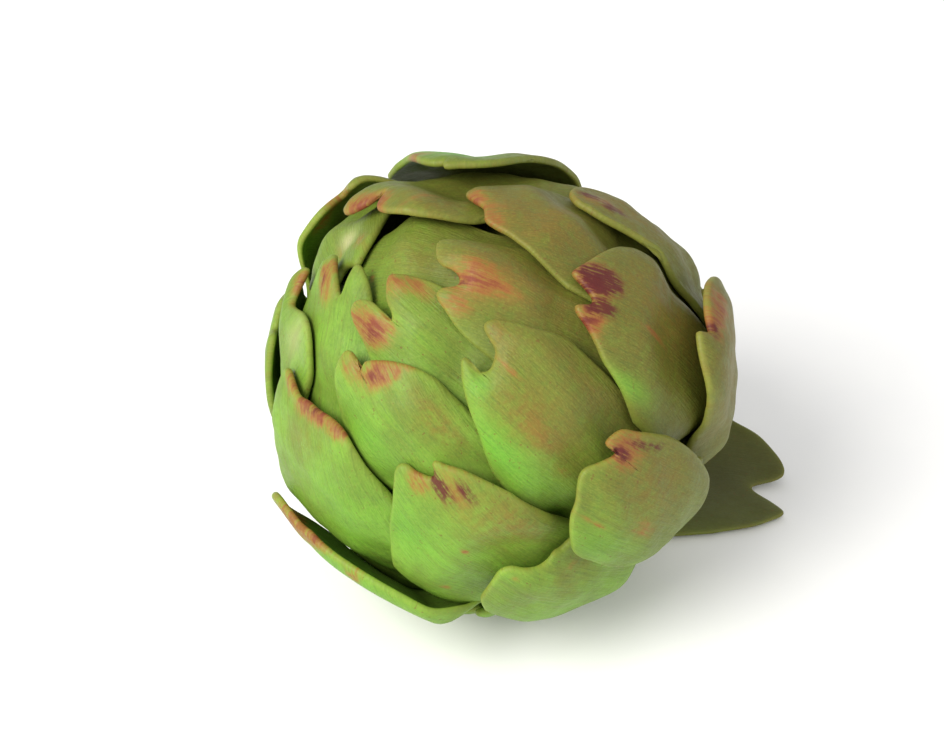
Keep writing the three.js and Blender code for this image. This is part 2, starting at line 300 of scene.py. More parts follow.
BRACTS = [
    Bract("crown_bract_1", 312, -1, (14, 21), [
        (-10, 11), (-5, 5.5), (-1.5, 2), (0.5, 0.3), (2.5, -0.6), (5.5, -1.6), (9, -2), (13, 0.5),
        (17, 6)],
        marks=[(RUST, 0.7, 6.8, 1, 1, 0.8), (OLIVE, 5, 18, 5, 8, 0.5)]),
    Bract("crown_bract_2", 75, 3, (13, 19), [
        (-11, 12), (-9, 6), (-6, 1), (-3.5, -1.5), (-1, 0.6), (1, 1.2), (3, -0.6), (7, -0.4), (11, 2.4),
        (14.6, 6.6), (17, 12)],
        marks=[(PALE, -0.7, 10.5, 2.6, 2.6, 0.9), (RUST, -5, 5.5, 2, 3, 0.6), (RUST, 3, 9, 2, 3, 0.4)]),
    Bract("crown_bract_3", 212, -2, (17, 14), [
        (-14.6, 9), (-11.6, 2.4), (-8, -2), (-5.4, -2.8), (-3, -1.6), (0, 2), (2, 6), (2.8, 5.4),
        (3.4, 2.4), (4.6, -0.5), (6.4, -0.2), (9, 3), (12, 9)],
        marks=[(RUST, -2.6, 2.6, 2, 3.4, 1.1), (PURPLE, -3, 4, 1.4, 2.6, 0.55),
               (RUST, -1, 7, 2.4, 3, 0.5)]),
    Bract("crown_bract_4", 278, 14, (15.5, 15.5), [
        (-13, 14), (-9.4, 8), (-7.6, 4.6), (-6, 0.9), (-4.4, -1.4), (-2.6, -2.4), (-0.6, -1.6),
        (0.9, 1.2), (1, 5), (0.8, 7.6), (1.9, 6.8), (3, 4.4), (4.6, 2.4), (6.6, 0.6), (8, 0.7),
        (10.4, 3.6), (12.6, 8), (14, 13)],
        marks=[(RUST, -3, 1, 2.6, 3.4, 0.75), (RUST, -3.4, 6, 3, 3.2, 1.3),
               (PURPLE, -4.2, 6.2, 2, 1.8, 0.6), (RUST, -1.4, 9, 3, 2.6, 0.5),
               (RUST, 6.8, 3.4, 2.4, 3.4, 0.8), (RUST, 9.8, 8, 2, 4, 0.7)]),
    Bract("crown_bract_5", 20, 18, (17, 17), [
        (-15, 12), (-13, 7), (-9.5, 2), (-4.5, -0.6), (-0.5, -1.4), (1.6, 0), (3, 2.8), (4.2, 2.4),
        (5, -1), (8, -4), (11, -4.4), (13.5, -1), (15, 6), (15.8, 12)], lift=2,
        marks=[(RUST, 6, -2, 4, 3.4, 1.1), (RUST, 1, 0.4, 3, 3, 1), (RUST, -6, 6, 1, 5, 0.5),
               (OLIVE, -8, 6, 6, 8, 0.6)]),
    Bract("crown_bract_6", 160, 14, (18, 18), [
        (-16, 13), (-14, 5), (-11, -1.2), (-9, -2), (-6.5, 0.4), (-4, 3), (-1.5, 2), (3, -1.4), (7, -2.4),
        (11, -1), (14.5, 4), (16.5, 12)],
        marks=[(RUST, -7, -1, 2, 3, 0.9), (RUST, -3.2, 0.4, 1.8, 2.4, 0.7), (PALE, 6, 3, 3, 6, 0.4)]),

    Bract("inner_bract_1", 252, 25, (15.5, 15), [
        (-14.2, 12), (-13.8, 7), (-12, 3), (-9, -0.4), (-6, -2.6), (-3, -4), (-1.4, -3.6), (-0.6, -1),
        (-0.9, 1.6), (-0.3, 1.2), (1.2, 0.5), (4, 1.9), (7, 4), (10, 7), (12.4, 11), (13.3, 15)],
        marks=[(RUST, -2.6, 0.5, 2.4, 4.4, 0.55), (RUST, 2.8, 4.6, 3.4, 3, 1.25),
               (PURPLE, 1.8, 4.4, 1.8, 2, 0.45), (RUST, 7.5, 6.5, 3, 1.6, 0.6),
               (OLIVE, 8, 19, 3.5, 9, 0.9), (BRIGHT, -8, 14, 4, 9, 0.5)]),
    Bract("inner_bract_2", 311, 28, (16.5, 17), [
        (-13, 16), (-11.2, 11), (-9, 7), (-6.6, 4), (-4.7, 1.7), (-3.4, 1.1), (-2.1, 2), (-0.7, 4.6),
        (1, 4.3), (2.2, 2.4), (2.6, 0), (4, -1.8), (6.6, -3), (8.4, -2.6), (10.4, 1), (13, 6.5),
        (15, 12)], lean=-3,
        marks=[(RUST, 3.5, 8, 3, 6, 0.7), (RUST, 0, 8, 2, 5, 0.8), (PURPLE, -0.4, 6, 1.1, 1.4, 0.7),
               (RUST, -4.6, 6, 2.6, 4, 0.65), (RUST, 1.3, 14, 1.6, 5, 0.5), (OLIVE, 4, 14, 8, 14, 1)]),
    Bract("inner_bract_3", 205, 31, (24, 19), [
        (-22, 16), (-19, 8), (-14.5, 1), (-10.5, -4), (-7.6, -6.8), (-5.6, -6.6), (-3.6, -4.4),
        (-1, -1.6), (2.6, -0.6), (6, 1), (10, 2.6), (13, 5), (15, 9), (16.3, 14)], lean=8,
        marks=[(RUST, -3.5, -4, 2.4, 3, 0.8), (RUST, 2, 0.4, 3, 2.4, 1.1), (RUST, 7.5, 2.6, 3, 2, 1.2),
               (RUST, 12.6, 5.4, 2.6, 2.2, 0.9), (PURPLE, 5, 1.2, 3, 1.2, 0.6), (OLIVE, 1, 7, 7, 5, 0.5),
               (BRIGHT, 7, 26, 8, 14, 0.4)]),
    Bract("inner_bract_4", 346, 36, (19, 22.5), [
        (-16.4, 20), (-14, 16.5), (-11.4, 12.4), (-8.6, 8.8), (-6, 6), (-4, 3.2), (-1.8, 1.2), (1, 1),
        (3.4, 0.6), (5.6, -1.4), (8.4, -3), (12, -3.2), (16, -2.4), (19.4, 1), (21.4, 7)], lean=-8,
        marks=[(RUST, 6, -0.6, 3, 2.8, 0.8), (RUST, -2.4, 3, 2.4, 3, 0.7), (RUST, 2, 3, 3, 4, 0.45),
               (OLIVE, 0, 14, 12, 16, 0.9)]),
    Bract("inner_bract_5", 81, 33, (20, 31), [
        (-18, 14), (-13.6, 5.6), (-9, 0.6), (-5.5, -2), (-3.4, 1), (-1, 3.4), (1, 0.6), (3.4, -1.4),
        (9, -0.8), (15, 0), (20, 2), (25, 5), (29, 11)], lift=1, flare=2.6,
        marks=[(RUST, 0.3, 2, 5, 2.4, 0.6), (RUST, 7, 3, 3, 2.4, 0.6)]),
    Bract("inner_bract_6", 140, 34, (17, 17), lift=0.5),

    Bract("middle_bract_1", 287, 44, (17.5, 18), [
        (-15.6, 19.5), (-13.2, 15), (-10.6, 11), (-8, 6), (-5.2, 1.6), (-3.2, -0.6), (-1.7, -1.9),
        (-0.7, -1.4), (-0.8, 0.6), (-1, 2.4), (0.4, 3.6), (2.3, 3.1), (4.2, 1.8), (5, -0.4), (5.8, -2.8),
        (7, -3.6), (8.8, -2.7), (10.8, 0.2), (13, 4.2), (15.6, 8), (17.4, 12)], lean=-10,
        marks=[(OLIVE, -1, 17, 6, 14, 1), (RUST, -2, 19, 3.4, 8, 0.3), (RUST, -4.4, 31, 1.4, 2, 0.45),
               (OLIVE, 7, 0, 4, 5, 0.8), (RUST, 3.3, 6.8, 0.7, 3, 0.7), (BRIGHT, -10.5, 15, 4.4, 14, 0.8),
               (BRIGHT, -3, 4.4, 3, 3, 0.6), (OLIVE, 12, 20, 5, 14, 0.6)]),
    Bract("middle_bract_2", 30, 41, (14.5, 26), [
        (-13.2, 14), (-12.6, 8), (-11.6, 3), (-9.6, -0.6), (-7, -3.2), (-4.4, -4.8), (-2, -6.2),
        (-0.8, -4.4), (1, -5), (4, -4), (8, -0.6), (12, 4), (16, 8), (20, 10), (24, 13)], lean=24,
        flare=2.8,
        marks=[(RUST, 9, 2, 5, 4, 0.7), (PALE, 1, 1, 1.2, 1.6, 0.4), (BRIGHT, 6, 6, 14, 9, 0.9)]),
    Bract("middle_bract_3", 244, 53, (21, 19.4), [
        (-19.6, 17.6), (-16.8, 14.2), (-13.8, 11), (-10.4, 7.2), (-6, 3.2), (-2.8, -0.2), (-0.4, -2.8),
        (1.4, -3.6), (2.9, -2.8), (3.7, -0.9), (5, 0.9), (6.3, 2), (7.4, 1), (8, -0.5), (9.1, -0.6),
        (10.4, 1.2), (12.8, 4), (15.8, 9.6), (17.8, 14.4)],
        marks=[(RUST, 3.2, 1.4, 2, 2.6, 0.8), (PURPLE, 7, 4.4, 1.5, 5, 1.3), (PURPLE, 11, 8, 1.3, 3.6, 1),
               (RUST, 8.6, 6.6, 4, 6, 0.6), (RUST, 0.4, 20.5, 0.8, 1.2, 0.8),
               (RUST, -12.8, 28.6, 1, 1.4, 0.7), (OLIVE, 15, 20, 6, 12, 0.8), (BRIGHT, -7, 9, 6, 10, 0.6),
               (OLIVE, 7, 17, 5, 9, 0.5)]),
    Bract("middle_bract_4", 320, 60, (22, 29), [
        (-21, 25), (-19.2, 21), (-17.2, 16.8), (-15.5, 12.8), (-13.4, 9), (-10.8, 6.2), (-8.2, 3.2),
        (-6.2, 0.4), (-4.6, -0.4), (-3.8, 0.8), (-2.9, 2.7), (-1.5, 2.9), (0.1, 1.2), (1.6, -1),
        (2.9, -2.5), (4.5, -2.1), (8.2, 0.4), (12.2, 3), (17, 6.6), (22, 10.6), (26.4, 16)], lean=-3,
        marks=[(PURPLE, 3.6, 3.6, 3.4, 4.4, 2.4), (RUST, 3.2, 2.6, 4.8, 5.4, 1.3),
               (PURPLE, -3.4, 4.8, 1.9, 3.4, 1.4), (RUST, -6.4, 3.4, 3.4, 3.4, 1.1),
               (PURPLE, -6.8, 2.6, 1.5, 2, 0.5), (RUST, -2.4, 18.5, 0.8, 4.5, 0.9),
               (BRIGHT, -16, 15, 2.4, 9, 0.6), (OLIVE, 6, 22, 12, 16, 0.9)]),
    Bract("middle_bract_5", 2, 61, (12, 17), [
        (-9.6, 24), (-8.8, 17), (-8.2, 11), (-7, 7.4), (-5.4, 4.8), (-4, 2.7), (-1, 1.6), (2, 2),
        (5.4, 4), (8.4, 7.4), (11, 12.4)], lean=-12,
        marks=[(PURPLE, 0.8, 6.6, 1.6, 3, 1.2), (PURPLE, -2, 12, 1.8, 4, 1.1), (RUST, -0.6, 9, 3, 6, 0.7),
               (OLIVE, 3, 18, 10, 16, 0.8)]),
    Bract("middle_bract_6", 111, 64, (18, 18)),
    Bract("middle_bract_7", 202, 64, (24, 24), [
        (-22.6, 9), (-21, 3.4), (-18, -1.4), (-15, -4.6), (-11.6, -6.8), (-8.4, -7.2), (-5.6, -6.2),
        (-3.4, -5), (-1.6, -3.6), (0.4, -3), (2.4, -2.6), (4.4, -0.6), (7.6, 1.6), (11.6, 4.2),
        (15.6, 7.8), (19, 12), (21.4, 17), (22.6, 22)], flare=5.2,
        marks=[(RUST, -6, -3, 6, 4, 0.9), (RUST, 3, -1, 5, 2.4, 0.7), (RUST, 11, 6, 2, 2, 0.7),
               (BRIGHT, 4, 6, 20, 9, 0.6)]),

    Bract("outer_bract_2", 64, 84, (18, 18)),
    Bract("outer_bract_3", 148, 86, (18.5, 18.5)),
    Bract("outer_bract_5", 27, 97, (18, 18)),
    Bract("outer_bract_6", 214, 107, (18, 18)),
    Bract("outer_bract_8", 105, 98, (18, 18)),

    Bract("lower_bract_1", 180, 107, (18.5, 18.5)),
    Bract("lower_bract_2", 300, 127, (16, 16)),
    Bract("lower_bract_3", 48, 116, (17, 17)),
    Bract("lower_bract_4", 266, 124, (16, 16)),
    Bract("lower_bract_5", 142, 117, (17, 17)),
    Bract("lower_bract_6", 4, 117, (17, 17)),
    Bract("lower_bract_7", 222, 121, (17, 17)),
    Bract("lower_bract_8", 93, 119, (16, 16), foot=146),
    Bract("outer_bract_7", 325.4, 93, (19, 19), [
        (-17.2, 13), (-16.2, 8), (-14.4, 2.4), (-11.4, -1.4), (-8.4, -3.8), (-5.6, -4.8), (-4.6, -3),
        (-3.8, -1.4), (-2.6, -2), (0.4, -2.8), (4.9, -2.4), (9.7, -0.4), (14, 4), (17, 12)], lift=5.2,
        foot=156,
        marks=[(RUST, 5, 1.8, 3.4, 3.4, 0.9), (PURPLE, -3.4, -0.8, 1.5, 1.6, 1.2),
               (RUST, -1, 0, 3.6, 3, 1), (OLIVE, 0, 14, 14, 16, 0.8)]),
    Bract("outer_bract_4", 256, 88, (22, 31), [
        (-20.4, 4), (-17.6, 0), (-14.6, -1.8), (-11.4, -3.2), (-8, -4.6), (-6.1, -4.8), (-4.3, -3.8),
        (-3.3, -1.4), (-2, 1.4), (-0.4, 3), (1.6, 3.6), (3, 5), (6, 5.6), (10, 6), (15, 7.4), (20, 10),
        (25, 15)], lean=4, lift=1, flare=1, foot=148,
        marks=[(RUST, 0.7, 10, 1.2, 1.2, 0.5), (RUST, -5.7, -1.6, 1, 1, 0.5), (OLIVE, 0, 10, 9, 8, 0.5)]),
    Bract("outer_bract_1", 280, 80, (18, 14.8), [
        (-17.6, 17), (-17.6, 13), (-16.6, 9.4), (-13.4, 5.4), (-10, 2.6), (-6.6, 1.2), (-4, -0.4),
        (-1.6, -1.6), (0.4, -1.5), (2.2, 0), (4, 1.6), (5.8, 2.9), (6.6, 2.2), (6.3, 0.6), (7, -0.5),
        (9, 0), (11, 1.6), (12, 5), (13.2, 9), (14.4, 14)], lean=5, lift=1.5, foot=152, taper=-0.25,
        marks=[(PURPLE, 6.5, 3.6, 1.4, 2.6, 1), (RUST, 7.5, 4.4, 4, 4.4, 1.05),
               (PURPLE, 9.8, 6.8, 1.1, 3, 0.9), (PURPLE, 11, 10.6, 0.9, 2.4, 0.6),
               (PURPLE, 11.8, 12.6, 0.8, 1, 0.8), (RUST, -5.4, 21, 2.4, 4.4, 0.65),
               (RUST, -8.4, 7.6, 0.6, 4, 0.7), (OLIVE, 4, 16, 10, 14, 0.8),
               (BRIGHT, -13, 12, 4, 8, 0.4)]),

    Bract("base_bract_1", 184, 121, (16, 16), foot=160),
    Bract("base_bract_2", 340, 141, (12, 12)),
    Bract("base_bract_3", 140, 140, (13, 13)),
    Bract("base_bract_4", 250, 141, (13, 13)),
    Bract("base_bract_5", 30, 142, (13, 13)),
]
COVERS = [Cover(b) for b in BRACTS]

# The opened bract lies on the surface: its foot and the middle of its tip in the part's frame.
SPREAD = Bract("spread_bract", 0, 0, (22, 23), [
    (-19, 14), (-16, 7), (-11.6, 2), (-8, -0.6), (-5.4, -1), (-3.6, 0.6), (-1.6, 4), (0, 5.5), (1.8, 4.4),
    (4.4, 0.8), (7, -2), (8.6, -2.2), (11, -0.2), (15, 4.6), (19.4, 13)],
    # Its painted_shade mark covers the whole bract: painted shade, as of the head's shadow on it.
    taper=-0.3, marks=[(PAINTED_SHADE, 0, 20, 30, 40, 0.9)])
SPREAD_FROM = np.array([30.0, 19.0, 17.0])
SPREAD_TO = np.array([71.6, -0.4, 2.5])
SPREAD_ACROSS = np.array([0.48, 0.8, 0.36])  # towards its left side
SPREAD_CUP = 4.0  # how far its sides turn up
SPREAD_SAG = 7.0  # how far its middle sags under the line from foot to tip
FLOOR_MARGIN = FLESH + 0.5  # its face keeps this far above the surface it lies on
FLOOR_BEND = 2.0  # and levels off softly, within about this distance

PLAIN_POINTS = 11  # an edge with more points than plain_edge gives follows the photo
SHOWN_WELL = {SPREAD.name} | {  # seen from the front and above, so they get the finest meshes
    b.name for b in BRACTS
    if b.name.startswith(("crown", "inner", "middle")) or len(b.edge) > PLAIN_POINTS
}


# ---- meshes ----
def layers_over(rank, d):
    """How many bracts lie over the bract of this rank in directions d."""
    return sum((cover(d) for cover in COVERS[rank + 1:]), np.zeros(d.shape[:-1]))


def face_radius(rank, d, y, off):
    """Radius of a bract's outer face, off from its outline: under every bract over it, or standing off
    where nothing holds it, by lift all round the tip and by flare right at the margin."""
    b = BRACTS[rank]
    over = layers_over(rank, d)
    free = np.maximum(0, 1 - over)
    lifted = b.lift * (1 - smoothstep(y, 0, LIFT_ENDS))
    flared = b.flare * (1 - smoothstep(off, 0, FLARE_WIDTH)) * (1 - smoothstep(y, *FLARE_ENDS))
    return skin_radius(d) - LAYER * over + (lifted + flared) * free


def spaced(total, first, growth, largest):
    """Distances from 0 to total, in steps that grow from first to largest."""
    stops = [0.0]
    while stops[-1] < total:
        stops.append(stops[-1] + min(first + growth * stops[-1], largest))
    return np.array(stops) * total / stops[-1]


def bract_grid(b, fine):
    """x, y of a grid that fills the outline: a row for each step from tip to foot, a column for each
    line that runs from the tip's edge to the foot. The edge's shape dies away along the lines."""
    across, along = FINE_CELL if fine else COARSE_CELL
    arc = np.concatenate([[0], np.cumsum(np.linalg.norm(np.diff(b.curve, axis=0), axis=1))])
    half = spaced(arc[-1] / 2, FIRST_CELL, GROWTH[0], across)
    where = np.concatenate([half, arc[-1] - half[-2::-1]])
    tip = np.stack([np.interp(where, arc, b.curve[:, k]) for k in (0, 1)], 1)
    share = where / arc[-1]
    down = spaced(b.length, FIRST_CELL, GROWTH[1], along)
    v = 1 - down[:, None] / b.length
    left_y = b.length - v * (b.length - b.edge[0][1])
    right_y = b.length - v * (b.length - b.edge[-1][1])
    spread = lerp(b.side(-1, left_y), b.side(1, right_y), share)
    at_tip = lerp(b.edge[0][0], b.edge[-1][0], share)
    x = spread + (tip[:, 0] - at_tip) * v**4
    y = b.length - v * (b.length - tip[:, 1])
    return x, y


def new_mesh(name, points, faces, material, values):
    """A smooth mesh object from points in mm, with a float attribute for each of values."""
    mesh = bpy.data.meshes.new(name)
    mesh.from_pydata((points * MM).tolist(), [], faces)
    mesh.shade_smooth()
    for key, value in values.items():
        layer = mesh.attributes.new(key, "FLOAT", "POINT")
        layer.data.foreach_set("value", np.ascontiguousarray(value, np.float32))
    mesh.materials.append(material)
    piece = bpy.data.objects.new(name, mesh)
    bpy.context.scene.collection.objects.link(piece)
    return piece


def shell_faces(rows, columns):
    """Quads of a closed shell: a full grid outside, and one inside that shares its border points."""
    outer = np.arange(rows * columns).reshape(rows, columns)
    inner = outer.copy()
    inner[1:-1, 1:-1] = rows * columns + np.arange((rows - 2) * (columns - 2)).reshape(rows - 2, columns - 2)

    def quads(g):
        return np.stack([g[:-1, :-1], g[1:, :-1], g[1:, 1:], g[:-1, 1:]], -1).reshape(-1, 4)

    return np.vstack([quads(outer), quads(inner)[:, ::-1]]).tolist()


SEEDS = 97  # how many different offsets the bracts have into the materials' noise
RIM_WIDTH = {"pale": 0.7, "rust": 0.9}  # how far the margin's pale line and its rust fade inwards
TIP_RUST = 0.22  # strength of the rust along the tip's margin
TIP_RUST_ENDS = (4, 16)  # where, from the tip line, the margin's rust begins and ends to fade
INNER_EASE = 1.5  # distance from the margin over which the inner face's colour comes in


def bract_stains(b, x, y, off):
    """How strong each kind of stain or painted shade is at the points x, y, with a little rust along the
    tip's margin.
    """
    stains = {kind: np.zeros_like(x) for kind in KINDS}
    for kind, mx, my, wide, long, strength in b.marks:
        reach = ((x - mx) / wide) ** 2 + ((y - my) / long) ** 2
        stains[kind] += strength * np.exp(-reach)
    stains[RUST] += TIP_RUST * np.exp(-off / RIM_WIDTH["rust"]) * (1 - smoothstep(y, *TIP_RUST_ENDS))
    return stains


def build_bract(b, place, material):
    """The fine bract. place(x, y, off, depth) gives points at a depth under its face."""
    x, y = bract_grid(b, b.name in SHOWN_WELL)
    off = distance_to(b.outline(), x, y)
    off[[0, -1], :] = 0
    off[:, [0, -1]] = 0
    half = MARGIN / 2
    near = np.minimum(off, half) / half
    rounded = half * (1 - np.sqrt(1 - (1 - near) ** 2))
    roll = ROLL[0] * (1 - np.minimum(off, ROLL[1]) / ROLL[1]) ** 2
    thick = lerp(MARGIN, FLESH, smoothstep(off, 0, THICKENS))
    outer = place(x, y, off, roll + rounded - b.wave(x, y) * smoothstep(off, 0, WAVE_EASE))
    inner = place(x, y, off, roll + thick - rounded)
    core = np.s_[1:-1, 1:-1]
    points = np.vstack([outer.reshape(-1, 3), inner[core].reshape(-1, 3)])

    def both(value):
        """A value for the outer face's points and, again, for the inner face's."""
        return np.concatenate([value.ravel(), value[core].ravel()])

    values = {
        "across": both(x),
        "along": both(y),
        "seed": np.full(len(points), b.seed % SEEDS, float),
        "rim": both(np.exp(-off / RIM_WIDTH["pale"])),
        "inner": np.concatenate([np.zeros(x.size), smoothstep(off, 0, INNER_EASE)[core].ravel()]),
        **{kind: both(value) for kind, value in bract_stains(b, x, y, off).items()},
    }
    piece = new_mesh(b.name + "_flesh", points, shell_faces(*x.shape), material, values)
    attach(piece, "root")
    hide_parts(b.name)
    return piece


def place_on_globe(rank):
    """The place function of a bract that lies on the head."""
    b = BRACTS[rank]

    def place(x, y, off, depth):
        d = b.direction(x, y)
        return in_place(d * (face_radius(rank, d, y, off) - depth)[..., None])

    return place


def place_spread(b):
    """The place function of the opened bract: a shallow spoon along the line from its foot to its tip.

    Its length becomes that of the line.
    """
    along = SPREAD_TO - SPREAD_FROM
    b.length = length = np.linalg.norm(along)
    along = along / length
    upper = unit(-np.cross(SPREAD_ACROSS, along))
    across = np.cross(along, upper)

    def place(x, y, off, depth):
        bend = SPREAD_CUP * (x / b.widest[0]) ** 2 - SPREAD_SAG * np.sin(math.pi * y / length)
        parts = ((x, across), (length - y, along), (bend, upper))
        points = SPREAD_FROM + sum(value[..., None] * axis for value, axis in parts)
        sunk = FLOOR_MARGIN - points[..., 2]
        points[..., 2] += (sunk + np.sqrt(sunk**2 + FLOOR_BEND**2)) / 2
        return points - depth[..., None] * upper

    x, y = bract_grid(b, fine=False)
    lowest = place(x, y, x, np.full_like(x, FLESH))[..., 2].min()
    return lambda x, y, off, depth: place(x, y, off, depth) - UP * lowest


# ---- materials ----
class Nodes:
    """A node material under construction. An input is given as a number, a colour or a socket, by its
    name or, where names repeat, by i and its number."""

    def __init__(self, name):
        self.material = bpy.data.materials.new(name)
        self.material.use_nodes = True
        self.tree = self.material.node_tree
        self.shader = self.tree.nodes["Principled BSDF"]

    def add(self, kind, out=0, settings=None, **inputs):
        """A new node's output, by its name or number."""
        node = self.tree.nodes.new(kind)
        for key, value in (settings or {}).items():
            setattr(node, key, value)
        for key, value in inputs.items():
            numbered = key[0] == "i" and key[1:].isdigit()
            self.put(node.inputs[int(key[1:]) if numbered else key], value)
        return node.outputs[out]

    def put(self, socket, value):
        if isinstance(value, bpy.types.NodeSocket):
            self.tree.links.new(value, socket)
        else:
            socket.default_value = value

    def attribute(self, name):
        return self.add("ShaderNodeAttribute", out="Fac", settings={"attribute_name": name})

    def math(self, operation, a, b):
        return self.add("ShaderNodeMath", settings={"operation": operation}, i0=a, i1=b)

    def vector(self, x, y, z):
        return self.add("ShaderNodeCombineXYZ", X=x, Y=y, Z=z)

    def noise(self, vector, scale, detail=2.0, roughness=0.5):
        return self.add("ShaderNodeTexNoise", Vector=vector, Scale=scale, Detail=detail, Roughness=roughness)

    def mix(self, share, a, b):
        """Colour b over colour a by share: the node's colours are its inputs 6 and 7 and its output 2."""
        return self.add("ShaderNodeMix", out=2, settings={"data_type": "RGBA"}, Factor=share, i6=a, i7=b)

    def ramp(self, value, low, high, to_low=0.0, to_high=1.0):
        """From to_low, where value is low, to to_high, where it is high, with smooth ends."""
        settings = {"interpolation_type": "SMOOTHSTEP"}
        range_ends = dict(i1=low, i2=high, i3=to_low, i4=to_high)
        return self.add("ShaderNodeMapRange", settings=settings, i0=value, **range_ends)


def srgb(r, g, b):
    """A linear colour from the usual 0 to 255 values."""
    def linear(c):
        c /= 255
        return c / 12.92 if c <= 0.04045 else ((c + 0.055) / 1.055) ** 2.4
    return (linear(r), linear(g), linear(b), 1.0)


BRIGHT_GREEN = srgb(114, 156, 48)
LEAF_GREEN = srgb(104, 134, 43)
OLIVE_GREEN = srgb(99, 96, 36)
DEEP_GREEN = srgb(58, 84, 34)
YELLOW_GREEN = srgb(146, 152, 68)
WAXY = srgb(172, 170, 120)
OCHRE = srgb(119, 97, 38)
VIVID_GREEN = srgb(100, 164, 44)
# the colour of the painted shade on the opened bract
PAINTED_SHADE_OLIVE = srgb(72, 72, 34)
FRECKLE = srgb(104, 72, 34)
RUST_LIGHT = srgb(148, 94, 44)
RUST_DARK = srgb(116, 48, 36)
PURPLE_DARK = srgb(82, 26, 28)
CUT_PALE = srgb(196, 196, 138)
CUT_GREEN = srgb(150, 168, 88)
CUT_BROWN = srgb(128, 104, 62)


def bract_material():
    """Green flesh with fibres along it, with olive painted shade on the side facing away from the key lamp
    and over the opened bract, and stained where the bract's attributes say so.
    """
    n = Nodes("bract_skin")
    x, y, seed = n.attribute("across"), n.attribute("along"), n.attribute("seed")
    place = n.vector(x, y, seed)
    lengthwise = n.vector(x, n.math("MULTIPLY", y, 0.07), seed)
    fibres = n.noise(lengthwise, 2.4, 3.0, 0.6)
    bands = n.noise(lengthwise, 0.55, 2.0, 0.5)
    cloud = n.noise(place, 0.09, 3.0, 0.55)
    mottle = n.noise(place, 0.5, 4.0, 0.6)

    colour = n.mix(n.ramp(cloud, 0.35, 0.65), LEAF_GREEN, BRIGHT_GREEN)
    # painted shade: olive over the side of the head facing away from the key lamp, broken up by the mottle
    painted_side_shade = n.math("MULTIPLY", n.attribute("painted_side_shade"), n.ramp(mottle, 0.2, 0.7, 0.75, 1.0))
    colour = n.mix(painted_side_shade, colour, OLIVE_GREEN)
    colour = n.mix(n.math("MULTIPLY", n.ramp(bands, 0.45, 0.8), 0.4), colour, OLIVE_GREEN)
    olive = n.math("MULTIPLY", n.attribute(OLIVE), n.ramp(mottle, 0.3, 0.65, 0.35, 1.0))
    colour = n.mix(n.math("MINIMUM", olive, 0.85), colour, OCHRE)
    colour = n.mix(n.math("MINIMUM", n.attribute(BRIGHT), 0.9), colour, VIVID_GREEN)
    colour = n.mix(n.math("MULTIPLY", n.ramp(fibres, 0.42, 0.75), 0.32), colour, DEEP_GREEN)
    fine = n.noise(n.vector(x, n.math("MULTIPLY", y, 0.4), seed), 3.0, 2.0, 0.6)
    colour = n.mix(n.ramp(fine, 0.45, 0.75, 0.0, 0.2), colour, DEEP_GREEN)
    colour = n.mix(n.ramp(fine, 0.3, 0.5, 0.2, 0.0), colour, YELLOW_GREEN)
    # painted shade: the opened bract is darkened towards a shaded olive
    colour = n.mix(n.math("MINIMUM", n.attribute(PAINTED_SHADE), 0.95), colour, PAINTED_SHADE_OLIVE)
    colour = n.mix(n.math("MULTIPLY", n.attribute("inner"), 0.3), colour, DEEP_GREEN)
    colour = n.mix(n.math("MULTIPLY", n.attribute("rim"), 0.35), colour, YELLOW_GREEN)
    colour = n.mix(n.math("MINIMUM", n.attribute(PALE), 0.8), colour, WAXY)

    # brown freckles, a millimetre or less across
    freckle = n.noise(place, 1.1, 2.0, 0.7)
    colour = n.mix(n.ramp(freckle, 0.64, 0.72, 0.0, 0.6), colour, FRECKLE)

    # rust and purple break up into streaks along the bract
    streaks = n.noise(n.vector(x, n.math("MULTIPLY", y, 0.12), seed), 1.5, 3.0, 0.65)
    grain = n.math("ADD", n.math("MULTIPLY", streaks, 0.75), n.math("MULTIPLY", mottle, 0.4))
    rust = n.math("MULTIPLY", n.attribute(RUST), n.ramp(grain, 0.38, 0.75, 0.45, 1.35))
    colour = n.mix(n.ramp(rust, 0.05, 0.85, 0.0, 0.75), colour, RUST_LIGHT)
    colour = n.mix(n.ramp(rust, 0.45, 1.4, 0.0, 0.85), colour, RUST_DARK)
    purple = n.math("MULTIPLY", n.attribute(PURPLE), n.ramp(grain, 0.42, 0.68, 0.25, 1.4))
    colour = n.mix(n.ramp(purple, 0.12, 1.1, 0.0, 0.9), colour, PURPLE_DARK)

    n.put(n.shader.inputs["Base Color"], colour)
    n.put(n.shader.inputs["Roughness"], n.ramp(mottle, 0.2, 0.8, 0.42, 0.6))
    n.shader.inputs["Specular IOR Level"].default_value = 0.25
    n.shader.inputs["Subsurface Weight"].default_value = 0.12
    n.shader.inputs["Subsurface Radius"].default_value = (0.7, 1.0, 0.3)
    n.shader.inputs["Subsurface Scale"].default_value = 0.0015
    relief = n.math("ADD", n.math("MULTIPLY", fibres, 0.8), n.math("MULTIPLY", mottle, 0.8))
    bump = n.add("ShaderNodeBump", Strength=0.55, Distance=0.0004, Height=relief)
    n.put(n.shader.inputs["Normal"], bump)
    return n.material


def cut_material():
    """Pale, fibrous flesh that has browned in patches."""
    n = Nodes("cut_flesh")
    radius, height, turn = n.attribute("across"), n.attribute("along"), n.attribute("seed")
    fibre = n.noise(n.vector(turn, n.math("MULTIPLY", height, 0.08), radius), 1.6, 3.0, 0.6)
    grain = n.noise(n.vector(turn, height, radius), 0.8, 4.0, 0.65)
    colour = n.mix(n.ramp(fibre, 0.35, 0.7), CUT_PALE, CUT_GREEN)
    colour = n.mix(n.ramp(grain, 0.5, 0.75, 0.0, 0.7), colour, CUT_BROWN)
    n.put(n.shader.inputs["Base Color"], colour)
    n.put(n.shader.inputs["Roughness"], n.ramp(grain, 0.2, 0.8, 0.6, 0.8))
    bump = n.add("ShaderNodeBump", Strength=0.5, Distance=0.0005, Height=fibre)
    n.put(n.shader.inputs["Normal"], bump)
    return n.material


